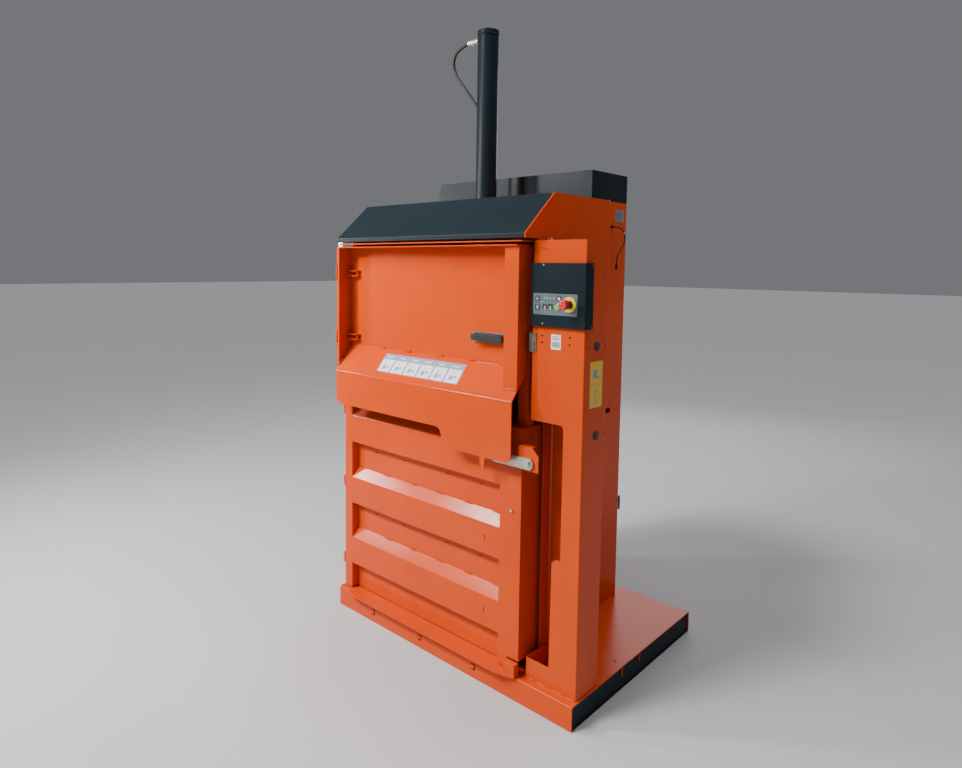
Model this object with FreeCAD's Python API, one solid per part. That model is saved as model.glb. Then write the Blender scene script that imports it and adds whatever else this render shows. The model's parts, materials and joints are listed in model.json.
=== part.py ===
import FreeCAD, Part
import math
import os

# Vertical recycling baler. Millimetres: X to the right, Y to the back, Z up.
# The origin is the middle of the footprint, at floor level.

# ---- base ----
base_front_y = -504.0
base_back_y = 550.0
base_h = 102.0
base_sheet = 4.0
base_bend_r = 3.0
skid_t = 3.0
side_inset = 6.5
web_t = 6.0
sill_t = 6.0
sill_out = 35.0

# ---- press chamber and its rear housing ----
centre_x = -130.0
chamber_w = 1000.0
wall_t = 6.0
chamber_front_y = -390.0
chamber_back_y = 290.0
housing_back_y = 448.0
strap_groove = 46.0
floor_bars = 5
floor_bar_h = 12.0

# ---- portal ----
portal_w = 1210.0
portal_h = 2128.0
portal_t = 6.0
portal_front_y = -425.0
portal_back_y = 114.0
portal_notch_y = -363.0
portal_notch_z = 1200.0
lip_y = -518.0
lip_drop = 191.0
lip_rise = 20.0
ridge_y = -321.0
cover_sheet = 3.0
rear_cover_h = 136.0
rear_cover_y = 121.0

# ---- control column ----
column_w = 249.0
column_inset = 8.0
column_gap = 3.0
column_front_y = -464.0
column_d = 160.0
column_h = 1928.0
column_sheet = 3.0
column_bend_r = 2.0
control_z = 1585.0
control_h = 253.0
control_out = 13.0
stop_inset = 185.0
stop_z = 1678.0
stop_r = 12.0
start_inset = 130.0
start_z = 1666.0
start_r = 10.95

# ---- bale door ----
door_l_inset = 21.0
door_r_inset = 28.0
door_front_y = -484.0
panel_y = -445.0
panel_t = 5.0
door_z = 112.0
door_top = 1158.0
post_l_w = 57.0
post_r_w = 106.0
rib_t = 4.0
rib_z = 244.0
rib_pitch = 326.5
rib_face = 140.0
rib_slope = 50.0
frame_d = 43.0
frame_drop = 223.0
stile_r_w = 52.0
door_pin_inset = 13.0
door_pin_y = -478.0
door_pin_r = 4.0
door_knuckle_r = 8.0
knuckle_h = 24.0

# ---- hatch ----
hatch_t = 5.0
hatch_gap = 1.0
hatch_l_inset = 11.0
hatch_r_inset = 30.0
hatch_drop = 217.0
hatch_front_y = -532.0
slope_z = 1403.0
apron_y = -550.0
apron_z = 1277.0
hatch_post_w = 72.0
hatch_post_y = -517.0
hatch_pin_inset = 8.0
hatch_pin_y = -528.0
hatch_pin_r = 3.5
hatch_knuckle_r = 7.0
strap_h = 28.0

# ---- press ----
cyl_y = -54.0
cyl_r = 52.0
cyl_bore_r = 44.0
cyl_rise = 852.0
rod_r = 30.0
platen_drop = 203.0
platen_h = 110.0
platen_gap = 8.0
platen_front_y = -388.0
platen_sheet = 10.0
piston_drop = 80.0
piston_h = 50.0

# ---- lock ----
lock_y = -522.0
lock_t = 8.0
lock_inset = 31.0
lock_z = 1031.0
lock_pin_r = 8.0

# ---- clearances ----
run_gap = 0.05
seat_gap = 0.3
hinge_gap = 1.0

pan_under = base_h - base_sheet
wall_li = centre_x - chamber_w / 2
wall_ri = centre_x + chamber_w / 2
wall_lo = wall_li - wall_t
wall_ro = wall_ri + wall_t
portal_lo = centre_x - portal_w / 2
portal_ro = centre_x + portal_w / 2
portal_li = portal_lo + portal_t
portal_ri = portal_ro - portal_t
portal_under = portal_h - portal_t
lip_z = portal_h - lip_drop
hatch_top = portal_h - hatch_drop
frame_top = portal_h - frame_drop
platen_z = portal_h - platen_drop
cyl_top = portal_h + cyl_rise
piston_z = cyl_top - piston_drop
door_l = portal_lo + door_l_inset
door_r = portal_ro - door_r_inset
door_pin_x = portal_lo + door_pin_inset
hatch_l = portal_lo + hatch_l_inset
hatch_r = portal_ro - hatch_r_inset
hatch_pin_x = portal_lo + hatch_pin_inset
housing_top = portal_h + 16
deck_top = housing_top - 6
column_l = portal_ro + column_gap
column_r = column_l + column_w
base_l = portal_lo
base_r = column_r + column_inset
stop_x = column_l + stop_inset
start_x = column_l + start_inset
lock_x = column_l + lock_inset
column_back = column_front_y + column_d
panel_back = panel_y + panel_t
post_l_in = door_l + post_l_w
post_r_in = door_r - post_r_w
hatch_back = panel_back - hatch_gap
hatch_face = hatch_back - hatch_t
control_y = column_front_y - control_out
keypad_y = control_y - 1.2
platen_top = platen_z + platen_h
made = []


def box(x0, x1, y0, y1, z0, z1):
    return Part.makeBox(x1 - x0, y1 - y0, z1 - z0, FreeCAD.Vector(x0, y0, z0))


def rod(x, y, z, axis, r, length):
    return Part.makeCylinder(r, length, FreeCAD.Vector(x, y, z), FreeCAD.Vector(*axis))


def place(u, v, plane, w):
    spots = {"yz": (w, u, v), "xz": (u, w, v), "xy": (u, v, w)}
    return FreeCAD.Vector(*spots[plane])


def extrude(wire, plane, a, b):
    way = {"yz": (b - a, 0, 0), "xz": (0, b - a, 0), "xy": (0, 0, b - a)}[plane]
    return Part.Face(wire).extrude(FreeCAD.Vector(*way))


def prism(points, plane, a, b):
    """A straight-sided outline in a plane, carried from a to b."""
    corners = [place(u, v, plane, a) for u, v in points]
    return extrude(Part.makePolygon(corners + corners[:1]), plane, a, b)


def rounded(points, plane, a, b):
    """An outline whose corners (u, v, r) are rounded to r, carried from a to b."""
    corners = [(place(u, v, plane, a), r) for u, v, r in points]
    edges = []
    ends = []
    for i, (p, r) in enumerate(corners):
        before = (corners[i - 1][0] - p).normalize()
        after = (corners[(i + 1) % len(corners)][0] - p).normalize()
        if r == 0:
            ends.append((p, p))
            continue
        half = before.getAngle(after) / 2
        reach = r / math.tan(half)
        way = (before + after).normalize()
        centre = p + way * (r / math.sin(half))
        ends.append((p + before * reach, p + after * reach))
        edges.append(Part.Arc(ends[-1][0], centre - way * r, ends[-1][1]).toShape())
    for i, (_, out) in enumerate(ends):
        into = ends[(i + 1) % len(ends)][0]
        if out.distanceToPoint(into) > 1e-6:
            edges.append(Part.LineSegment(out, into).toShape())
    return extrude(Part.Wire(Part.__sortEdges__(edges)), plane, a, b)


def plate(x0, x1, z0, z1, y0, y1, r):
    """A plate facing the front with rounded corners."""
    return rounded([(x0, z0, r), (x1, z0, r), (x1, z1, r), (x0, z1, r)], "xz", y0, y1)


def plate_up(x0, x1, y0, y1, z0, z1, r):
    """A level plate with rounded corners."""
    return rounded([(x0, y0, r), (x1, y0, r), (x1, y1, r), (x0, y1, r)], "xy", z0, z1)


def folded(points, t, inner, plane, a, b):
    """A folded sheet. The path is one of its faces, with the sheet on the path's left."""
    d = []
    for p, q in zip(points, points[1:]):
        length = math.hypot(q[0] - p[0], q[1] - p[1])
        d.append(((q[0] - p[0]) / length, (q[1] - p[1]) / length))
    normal = [(-v, u) for u, v in d]
    near = [[points[0]]]
    far = [[(points[0][0] + t * normal[0][0], points[0][1] + t * normal[0][1])]]
    for i in range(1, len(points) - 1):
        turn = d[i - 1][0] * d[i][1] - d[i - 1][1] * d[i][0]
        c = inner + t if turn > 0 else -inner
        n1, n2 = normal[i - 1], normal[i]
        k = c / (1 + n1[0] * n2[0] + n1[1] * n2[1])
        cu = points[i][0] + k * (n1[0] + n2[0])
        cv = points[i][1] + k * (n1[1] + n2[1])
        size = math.hypot(n1[0] + n2[0], n1[1] + n2[1])
        m = ((n1[0] + n2[0]) / size, (n1[1] + n2[1]) / size)
        for side, s in ((near, -c), (far, t - c)):
            side.append([(cu + s * n[0], cv + s * n[1]) for n in (n1, m, n2)])
    near.append([points[-1]])
    far.append([(points[-1][0] + t * normal[-1][0], points[-1][1] + t * normal[-1][1])])
    edges = []
    here = place(*near[0][0], plane, a)
    for stretch in near[1:] + [s[::-1] for s in far[::-1]] + near[:1]:
        spots = [place(*s, plane, a) for s in stretch]
        edges.append(Part.LineSegment(here, spots[0]).toShape())
        if len(spots) == 3:
            edges.append(Part.Arc(*spots).toShape())
        here = spots[-1]
    return extrude(Part.Wire(edges), plane, a, b)


def fuse(*shapes):
    whole = shapes[0]
    for s in shapes[1:]:
        whole = whole.fuse(s)
    return whole.removeSplitter()


def cut(shape, *holes):
    for hole in holes:
        shape = shape.cut(hole)
    return shape


def node(name, *solids):
    shape = solids[0] if len(solids) == 1 else Part.makeCompound(list(solids))
    shape.exportStep("parts/" + name + ".step")
    made.append(name)
    if not shape.isValid():
        print("not valid:", name)
    if len(shape.Solids) != len(solids):
        print("solids:", name, len(shape.Solids))


def lead(points, r):
    """A round lead: straight runs joined by tangent arcs."""
    p = [FreeCAD.Vector(*q) for q in points]
    edges = []
    radii = []
    here = p[0]
    for i in range(1, len(p) - 1):
        a = (p[i - 1] - p[i]).normalize()
        b = (p[i + 1] - p[i]).normalize()
        half = a.getAngle(b) / 2
        reach = 0.45 * min((p[i] - p[i - 1]).Length, (p[i + 1] - p[i]).Length)
        radius = reach * math.tan(half)
        radii.append(round(radius))
        way = (a + b).normalize()
        centre = p[i] + way * (radius / math.sin(half))
        edges.append(Part.LineSegment(here, p[i] + a * reach).toShape())
        edges.append(Part.Arc(p[i] + a * reach, centre - way * radius, p[i] + b * reach).toShape())
        here = p[i] + b * reach
    edges.append(Part.LineSegment(here, p[-1]).toShape())
    path = Part.Wire(edges)
    ring = Part.Wire([Part.Circle(p[0], (p[1] - p[0]).normalize(), r).toShape()])
    solid = path.makePipeShell([ring], True, False)
    share = solid.Volume / (math.pi * r * r * path.Length)
    print("lead: length %.1f, volume share %.4f, radii %s" % (path.Length, share, radii))
    return solid


def hexagon(x, y, z, across, length):
    """A hexagon whose axis runs to the back."""
    r = across / math.sqrt(3)
    spots = [math.radians(60 * k) for k in range(6)]
    return prism([(x + r * math.cos(s), z + r * math.sin(s)) for s in spots], "xz", y, y + length)


def on_slope(y):
    """The height of the front cover's sloping face at y."""
    foot = lip_z + lip_rise
    return foot + (y - lip_y) * (portal_h + cover_sheet - foot) / (ridge_y - lip_y)


def on_chute(y):
    """The height of the hatch's sloping front face at y."""
    return slope_z + (y - hatch_face) * (slope_z - apron_z) / (hatch_face - apron_y)


def make_base():
    pan = folded([(base_back_y, skid_t), (base_back_y, base_h), (base_front_y, base_h),
                  (base_front_y, skid_t)], base_sheet, base_bend_r, "yz", base_l, base_r)
    y0, y1 = base_front_y - 1, base_front_y + base_sheet + 1
    for x in (centre_x - 330, centre_x + 10, centre_x + 350):
        for a, b, c, d in ((5, 11, -15, 15), (-11, 11, -15, -9), (-11, 11, 9, 15)):
            pan = pan.cut(box(x + a, x + b, y0, y1, base_h / 2 + c, base_h / 2 + d))
    for x, y in ((wall_ri + 62, 258), (column_r - 36, -100)):
        pan = pan.cut(box(x - 9, x + 9, y - 3, y + 3, pan_under - 1, base_h + 1))
    node("base_pan", pan)
    inset = base_sheet + base_bend_r
    y0, y1 = base_front_y + inset, base_back_y - inset
    sides = [box(x, x + base_sheet, y0, y1, skid_t, pan_under)
             for x in (base_l + side_inset, base_r - side_inset - base_sheet)]
    skid = box(base_l + 2, base_r - 2, base_front_y + 2, base_back_y - 2, 0, skid_t)
    node("base_bottom", skid, *sides)
    x0, x1 = base_l + side_inset + base_sheet, base_r - side_inset - base_sheet
    webs = [box(x0, x1, y, y + web_t, skid_t, pan_under) for y in (-290.0, -50.0, 190.0, 400.0)]
    gussets = [box(base_r - side_inset, base_r - 1, y, y + web_t, pan_under - 40, pan_under)
               for y in (-113.0, 43.0)]
    node("base_webs", *webs, *gussets)
    sill_y = base_front_y - sill_out
    end_x = door_r + 8
    sill = prism([(door_l + 24, panel_back), (door_l + 24, base_front_y), (door_l + 117, sill_y),
                  (door_r - 75, sill_y),
                  (end_x, sill_y + 23), (end_x, panel_back)], "xy", base_h, base_h + sill_t)
    z = base_h + sill_t
    stop = box(end_x - 57, end_x, -515, -486, z, z + 50)
    node("sill", sill, stop.cut(box(end_x - 53, end_x - 4, -511, -480, z - 1, z + 46)))


def make_chamber():
    corner_y = ridge_y + 10
    side = [(chamber_front_y, base_h), (chamber_front_y, on_slope(chamber_front_y) - 9),
            (corner_y, portal_under), (portal_back_y, portal_under),
            (portal_back_y, housing_top), (housing_back_y, housing_top), (housing_back_y, base_h)]
    right = cut(prism(side, "yz", wall_ri, wall_ro),
                box(wall_ri - 1, wall_ro + 1, 300, 343, 1093, 1116),
                rod(wall_ri - 1, 306, 2022, (1, 0, 0), 5, 10))
    node("chamber_walls", right, prism(side, "yz", wall_lo, wall_li))
    back = box(wall_li, wall_ri, chamber_back_y, chamber_back_y + wall_t, base_h, portal_under)
    node("chamber_back", back)
    rear = box(wall_li, wall_ri, housing_back_y - wall_t, housing_back_y, base_h, deck_top - 6)
    ties = [box(wall_li, wall_ri, chamber_back_y + wall_t, housing_back_y - wall_t, z, z + 6)
            for z in (500.0, 1000.0, 1500.0)]
    node("housing_back", rear, *ties)
    node("housing_deck", box(wall_li, wall_ri, portal_back_y, housing_back_y, deck_top - 6, deck_top))
    y0, y1 = chamber_front_y, chamber_back_y
    bar_w = (chamber_w - 8 - strap_groove * (floor_bars - 1)) / floor_bars
    starts = [wall_li + 4 + k * (bar_w + strap_groove) for k in range(floor_bars)]
    top = base_h + wall_t
    bars = [box(x, x + bar_w, y0 + 4, y1 - 4, top, top + floor_bar_h) for x in starts]
    node("chamber_floor", box(wall_li, wall_ri, y0, y1, base_h, top), *bars)
    return starts, bar_w


def make_portal():
    foot = lip_z + lip_rise
    right = [(portal_notch_y, base_h), (portal_notch_y, portal_notch_z),
             (portal_front_y, portal_notch_z),
             (portal_front_y, lip_z), (lip_y, lip_z), (lip_y, foot), (ridge_y, portal_h + cover_sheet),
             (portal_back_y, portal_h + cover_sheet), (portal_back_y, base_h)]
    y0 = lip_y + cover_sheet + seat_gap
    drop = 1.4 * cover_sheet
    y1 = ridge_y + (drop - cover_sheet) * (ridge_y - lip_y) / (portal_h - foot)
    left = [(portal_front_y, base_h), (portal_front_y, lip_z), (y0, lip_z), (y0, on_slope(y0) - drop),
            (y1, portal_h), (portal_back_y, portal_h), (portal_back_y, base_h)]
    node("portal_sides", prism(right, "yz", portal_ri, portal_ro),
         prism(left, "yz", portal_lo, portal_li))
    spans = ((portal_li, wall_lo), (wall_ro, portal_ri))
    jambs = [box(x0, x1, ridge_y + 6, ridge_y + 6 + wall_t, base_h, portal_under) for x0, x1 in spans]
    jambs += [box(x0, x1, portal_back_y - wall_t, portal_back_y, base_h, portal_under)
              for x0, x1 in spans]
    node("portal_jambs", *jambs)
    top = cut(box(portal_li, portal_ri, ridge_y + 4, portal_back_y, portal_under, portal_h),
              rod(centre_x, cyl_y, portal_under - 1, (0, 0, 1), cyl_r + seat_gap, 10),
              rod(-186, 18, portal_under - 1, (0, 0, 1), 9, 10))
    node("portal_top", top)
    y = portal_front_y
    lintel = folded([(y + 5, portal_h - 108), (y + 5, lip_z - 15), (-533, lip_z - 15)][::-1], 5.0, 2.0,
                    "yz", portal_li, portal_ri)
    node("lintel", lintel.cut(box(portal_li - 1, portal_lo + 35, -540, y - 1, lip_z - 37, lip_z - 7)))
    z0 = platen_top + 5
    beams = [box(wall_li, wall_ri, y, y + 60, z0, portal_under)
             .cut(box(wall_li - 1, wall_ri + 1, y + wall_t, y + 60 - wall_t, z0 + wall_t,
                      portal_under - wall_t))
             for y in (cyl_y - 136, cyl_y + 76)]
    node("crossbeams", *beams)


def make_press(starts, bar_w):
    gland_z = portal_under - 50
    gland = rod(centre_x, cyl_y, gland_z, (0, 0, 1), 70, 50)
    gland = gland.cut(rod(centre_x, cyl_y, gland_z - 1, (0, 0, 1), rod_r + run_gap, 60))
    collar = rod(centre_x, cyl_y, portal_h, (0, 0, 1), 75, 12)
    collar = collar.cut(rod(centre_x, cyl_y, portal_h - 1, (0, 0, 1), cyl_r + seat_gap, 20))
    bolts = [hexagon(0, 0, 0, 18, 9) for k in range(4)]
    for k, bolt in enumerate(bolts):
        bolt.rotate(FreeCAD.Vector(0, 0, 0), FreeCAD.Vector(1, 0, 0), 90)
        turn = math.radians(45 + 90 * k)
        bolt.translate(FreeCAD.Vector(centre_x + 64 * math.cos(turn), cyl_y + 64 * math.sin(turn),
                                      portal_h + 12))
    node("cylinder_gland", gland, collar, *bolts)
    cap_z = cyl_top - 20
    barrel = rod(centre_x, cyl_y, portal_under, (0, 0, 1), cyl_r, cap_z - portal_under)
    barrel = cut(barrel, rod(centre_x, cyl_y, portal_under - 1, (0, 0, 1), cyl_bore_r, 2000))
    port_z = cyl_top - 35
    barrel = barrel.fuse(rod(centre_x - cyl_r + 3, cyl_y, port_z, (-1, 0, 0), 15, 13))
    barrel = barrel.cut(rod(centre_x - cyl_bore_r + 3, cyl_y, port_z, (-1, 0, 0), 6, 30))
    cap = rod(centre_x, cyl_y, cap_z, (0, 0, 1), cyl_r + 2, 20)
    rim = [e for e in cap.Edges if e.BoundBox.ZMin > cyl_top - 0.01]
    node("cylinder_barrel", barrel, cap.makeFillet(3, rim))
    node("piston_rod", rod(centre_x, cyl_y, platen_top, (0, 0, 1), rod_r, piston_z - platen_top))
    node("piston", rod(centre_x, cyl_y, piston_z, (0, 0, 1), cyl_bore_r - run_gap, piston_h))
    x0, x1 = wall_li + platen_gap, wall_ri - platen_gap
    y0, y1 = platen_front_y, chamber_back_y - platen_gap
    z0 = platen_z + floor_bar_h
    s = platen_sheet
    platen = box(x0, x1, y0, y1, z0, platen_top)
    platen = platen.cut(box(x0 + s, x1 - s, y0 + s, y1 - s, z0 + s, platen_top - s))
    node("platen", platen)
    bars = [box(max(x, x0), min(x + bar_w, x1), y0, y1, platen_z, z0) for x in starts]
    node("platen_bars", *bars)
    x = centre_x - cyl_r - 10
    upper = fuse(rod(x, cyl_y, port_z, (-1, 0, 0), 14, 12),
                 rod(x - 12, cyl_y, port_z, (-1, 0, 0), 10, 12),
                 rod(x - 24, cyl_y, port_z, (-1, 0, 0), 12, 12))
    lower = fuse(rod(-186, 18, portal_under, (0, 0, 1), 8.7, 10),
                 rod(-186, 18, portal_h, (0, 0, 1), 14, 12),
                 rod(-186, 18, portal_h + 12, (0, 0, 1), 11, 25))
    node("hose_fittings", upper, lower)
    route = [(x - 36, cyl_y, port_z), (-336, -54, 2945), (-392, -40, 2845), (-274, -20, 2695),
             (-190, 10, 2560), (-184, 18, 2400), (-186, 18, 2260), (-186, 18, portal_h + 37)]
    node("hydraulic_hose", lead(route, 8.0))


def make_covers():
    c = cover_sheet
    foot = lip_z + lip_rise
    path = [(ridge_y + 51, portal_h + c), (ridge_y, portal_h + c), (lip_y, foot), (lip_y, lip_z)]
    node("front_cover", folded(path, c, 2.5, "yz", portal_lo, portal_ri - c))
    z0, z1 = housing_top, housing_top + rear_cover_h
    lean = 20.0
    outer = prism([(wall_lo, z0), (wall_lo + lean, z1), (wall_ro, z1), (wall_ro, z0)],
                  "xz", rear_cover_y, housing_back_y)
    inner = prism([(wall_lo + c, z0 - 1), (wall_lo + c + lean, z1 - c), (wall_ro - c, z1 - c),
                   (wall_ro - c, z0 - 1)],
                  "xz", rear_cover_y + c, housing_back_y - c)
    node("rear_cover", outer.cut(inner))
    motor_x = wall_ri - 520
    tank = box(wall_li + 60, motor_x - 40, 170, 400, deck_top, deck_top + 118)
    node("oil_tank", tank.makeFillet(8, [e for e in tank.Edges if e.BoundBox.ZLength > 100]))
    motor = rod(motor_x, 285, deck_top + 66, (1, 0, 0), 60, 210)
    motor = fuse(motor, box(motor_x + 30, motor_x + 180, 245, 325, deck_top, deck_top + 20))
    pump = box(motor_x + 210, motor_x + 290, 235, 335, deck_top, deck_top + 105)
    valves = box(motor_x + 290 + hinge_gap, motor_x + 430, 235, 335, deck_top, deck_top + 80)
    node("power_pack", motor, pump, valves)
    y = lip_y + c
    corner = fuse(box(portal_lo, portal_lo + 35, y, y + 3, lip_z - 25, lip_z),
                  box(portal_lo, portal_lo + 3, y, y + 30, lip_z - 25, lip_z))
    clip = box(wall_ro, wall_ro + 6, 262, 280, housing_top - 6, housing_top + 6)
    node("cover_brackets", corner, clip)


def make_column():
    x0, x1, y0, y1 = column_l, column_r, column_front_y, column_back
    z0, z1, t = base_h, column_h, column_sheet
    cut_x = x0 + 160
    shell = folded([(x0, y1), (x0, y0), (x1, y0), (x1, y1), (x1 - 30, y1)], t, column_bend_r,
                   "xy", z0, z1)
    shell = cut(shell, rounded([(x0 - 1, 650, 0), (cut_x, 650, 0), (cut_x, 1198, 18),
                                (x0 - 1, 1198, 0)], "xz", y0 - 1, y0 + 6),
                prism([(x0 - 1, 189), (cut_x - 45, 189), (cut_x - 41, 633), (cut_x, 670),
                       (x0 - 1, 670)], "xz", y0 - 1, y0 + 6),
                box(x0 - 1, x0 + t + 3, y0 - 1, y1 + 1, 189, 1198))
    for x, z in ((x0 + 49, 1548), (x0 + 50, 1521), (x0 + 180, 1549), (x0 + 180, 1521)):
        shell = shell.cut(rod(x, y0 - 1, z, (0, 1, 0), 4, 6))
    for y, z in ((-434, 1513), (-317, 1513), (-432, 1161), (-311, 1160)):
        shell = shell.cut(rod(x1 - 6, y, z, (1, 0, 0), 4, 8))
    plugs = []
    for y, z in ((-378, 1515), (-372, 1161)):
        shell = shell.cut(rod(x1 - 6, y, z, (1, 0, 0), 15, 8))
        plugs.append(fuse(rod(x1 - t, y, z, (1, 0, 0), 14.8, t), rod(x1, y, z, (1, 0, 0), 17.5, 3)))
    node("column_shell", shell)
    node("column_plugs", *plugs)
    r = column_bend_r
    cap = plate_up(x0 + t, x1 - t, y0 + t, y1 - t, z1 - 4, z1 - 1, r)
    back = box(x0 + t, x1 - 30, y1 - t, y1, z0, z1 - 4)
    shelf = plate_up(x0 + t, x1 - t, y0 + 20, y1 - t, 1215, 1218, r)
    node("column_back", cap, back, shelf)
    node("electrics_box", plate(x0 + 40, x1 - 50, 1260, 1540, y0 + 40, y1 - t, 6))
    glands = [fuse(rod(x, -390, z1 - 1, (0, 0, 1), 7, 5), rod(x, -390, z1 + 4, (0, 0, 1), 5, 9))
              for x in (x0 + 18, x0 + 33)]
    node("cable_glands", *glands)
    tongue = folded([(x0 - 16, y0 + 26), (x0 - 16, y0 - 3), (x0 + 22, y0 - 3)], 3.0, 1.0,
                    "xy", 1478, 1556)
    heads = [fuse(hexagon(x0 + 10, y0 - 8, z, 10, 5), rod(x0 + 10, y0 - 3, z, (0, 1, 0), 2.9, 3))
             for z in (1491.0, 1516.0)]
    for z in (1491.0, 1516.0):
        tongue = tongue.cut(rod(x0 + 10, y0 - 4, z, (0, 1, 0), 3, 5))
    node("hatch_striker", tongue)
    return heads


def make_controls(heads):
    c, y0 = cover_sheet, column_front_y
    x0, x1 = column_l - 2, base_r
    z0, z1 = control_z, control_z + control_h
    lid = folded([(x0, y0), (x0, control_y), (x1, control_y), (x1, y0 + 39)], c, 2.0, "xy", z0, z1)
    for z in (z0, z1 - c):
        lid = lid.fuse(box(x0 + c, x1 - c, control_y + c, y0, z, z + c))
        lid = lid.fuse(box(column_r, x1 - c, y0, y0 + 39, z, z + c))
    side = x1 - 1.5
    lid = cut(lid.removeSplitter(), rod(stop_x, control_y - 1, stop_z, (0, 1, 0), stop_r + run_gap, 9),
              rod(start_x, control_y - 1, start_z, (0, 1, 0), start_r + run_gap, 9),
              rod(side, -436, z1 - 9, (1, 0, 0), 4.5, 5), rod(side, -436, z0 + 8, (1, 0, 0), 4.5, 5))
    node("control_cover", lid)
    screws = [rod(x0 + 61, control_y - 1.5, z, (0, 1, 0), 4, 1.5) for z in (z1 - 7, z0 + 13)]
    screws += [rod(side, -436, z, (1, 0, 0), 4.3, 1.2) for z in (z1 - 9, z0 + 8)]
    bolt = rod(column_r, -336, 1788, (1, 0, 0), 6, 3)
    node("column_bolts", *heads, *screws, bolt)
    panel = plate(x0 + 14, x0 + 222, 1633, 1718, keypad_y, control_y, 5)
    holes = (rod(stop_x, keypad_y - 1, stop_z, (0, 1, 0), stop_r + run_gap, 9),
             rod(start_x, keypad_y - 1, start_z, (0, 1, 0), start_r + run_gap, 9))
    node("control_panel", cut(panel, *holes))
    keys = [plate(x - 11, x + 11, z - 11, z + 11, keypad_y - 0.8, keypad_y, 2)
            for x, z in ((x0 + 36, 1696), (x0 + 36, 1663), (x0 + 72, 1664), (x0 + 98, 1666),
                         (x0 + 138, 1699))]
    node("control_keys", *keys)
    ring = rod(stop_x, keypad_y - 4, stop_z, (0, 1, 0), 30, 4)
    node("stop_collar", ring.cut(rod(stop_x, keypad_y - 5, stop_z, (0, 1, 0), stop_r + run_gap, 9)))
    head = rod(stop_x, keypad_y - 52, stop_z, (0, 1, 0), 20, 22)
    head = head.makeFillet(7, [e for e in head.Edges if e.BoundBox.YMax < keypad_y - 51])
    stem = rod(stop_x, keypad_y - 30, stop_z, (0, 1, 0), stop_r, 38)
    node("stop_button", fuse(head, stem))
    bezel = rod(start_x, keypad_y - 2, start_z, (0, 1, 0), 14, 2)
    node("start_bezel", bezel.cut(rod(start_x, keypad_y - 3, start_z, (0, 1, 0), start_r + run_gap, 9)))
    node("start_button", rod(start_x, keypad_y - 6, start_z, (0, 1, 0), start_r, 14))


def make_door():
    y0, t = door_front_y, rib_t
    notch_x, notch_z = door_r - 54, 163
    panel = box(door_l, door_r, panel_y, panel_back, door_z, door_top)
    panel = panel.cut(box(notch_x, door_r + 1, panel_y - 1, panel_back + 1, door_z - 1, notch_z))
    for x in (centre_x - 375, centre_x - 167, centre_x + 128, centre_x + 335):
        for k in (1, 2):
            z = rib_z + k * rib_pitch - 34
            panel = panel.cut(box(x - 9, x + 9, panel_y - 1, panel_back + 1, z - 2.5, z + 2.5))
    node("door_panel", panel)
    ribs = []
    for k in range(3):
        z = rib_z + k * rib_pitch
        path = [(panel_y, z + rib_face + rib_slope), (y0, z + rib_face), (y0, z), (panel_y, z)]
        rib = folded(path, t, 2.0, "yz", post_l_in, post_r_in)
        rib = rib.cut(box(post_l_in - 1, post_r_in + 1, panel_y, panel_back, z - 9,
                          z + rib_face + rib_slope + 9))
        if k < 2:
            rib = rib.cut(box(door_r - 190, door_r - 186, y0 - 1, y0 + t + 1, z + 66, z + 90))
        ribs.append(rib)
    node("door_ribs", *ribs)
    left = box(door_l, post_l_in, y0, panel_y, door_z, door_top + 12)
    left = left.cut(box(door_l + t, post_l_in - t, y0 + t, panel_y + 1, door_z - 1, door_top + 12 - t))
    right = prism([(post_r_in, door_z), (notch_x, door_z), (notch_x, notch_z), (door_r, notch_z),
                   (door_r, door_top), (post_r_in, door_top)], "xz", y0, y0 + t)
    right = fuse(right, box(post_r_in, post_r_in + t, y0 + t, panel_y, door_z, door_top),
                 box(post_r_in + t, door_r, y0 + t, panel_y, door_top - t, door_top))
    node("door_posts", left, right)
    side = box(door_r, door_r + 6, y0, ridge_y - 13, notch_z, door_top)
    for y, z in ((-342, 1109), (-341, 1067), (-363, 959)):
        side = side.cut(box(door_r - 1, door_r + 7, y - 3, y + 3, z - 9, z + 9))
    node("door_side_plate", side)
    f0, f1 = panel_back, panel_back + frame_d
    w = 5.0
    stile_l = box(door_l, post_l_in, f0, f1, door_z + 40, frame_top)
    stile_l = stile_l.cut(box(door_l + w, post_l_in - w, f0 + w, f1 - w, door_z + 39, frame_top - w))
    x0 = door_r - stile_r_w
    stile_r = box(x0, door_r, f0, f1, 190, frame_top)
    stile_r = stile_r.cut(box(x0 + w, door_r - w, f0 + w, f1 - w, 189, frame_top - w))
    rails = [box(post_l_in, x0, f0, f1, z, z + 40)
             .cut(box(post_l_in - 1, x0 + 1, f0 + w, f1 - w, z + w, z + 40 - w))
             for z in (door_top - 40, frame_top - 40)]
    node("door_frame", stile_l, stile_r, *rails)


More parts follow.
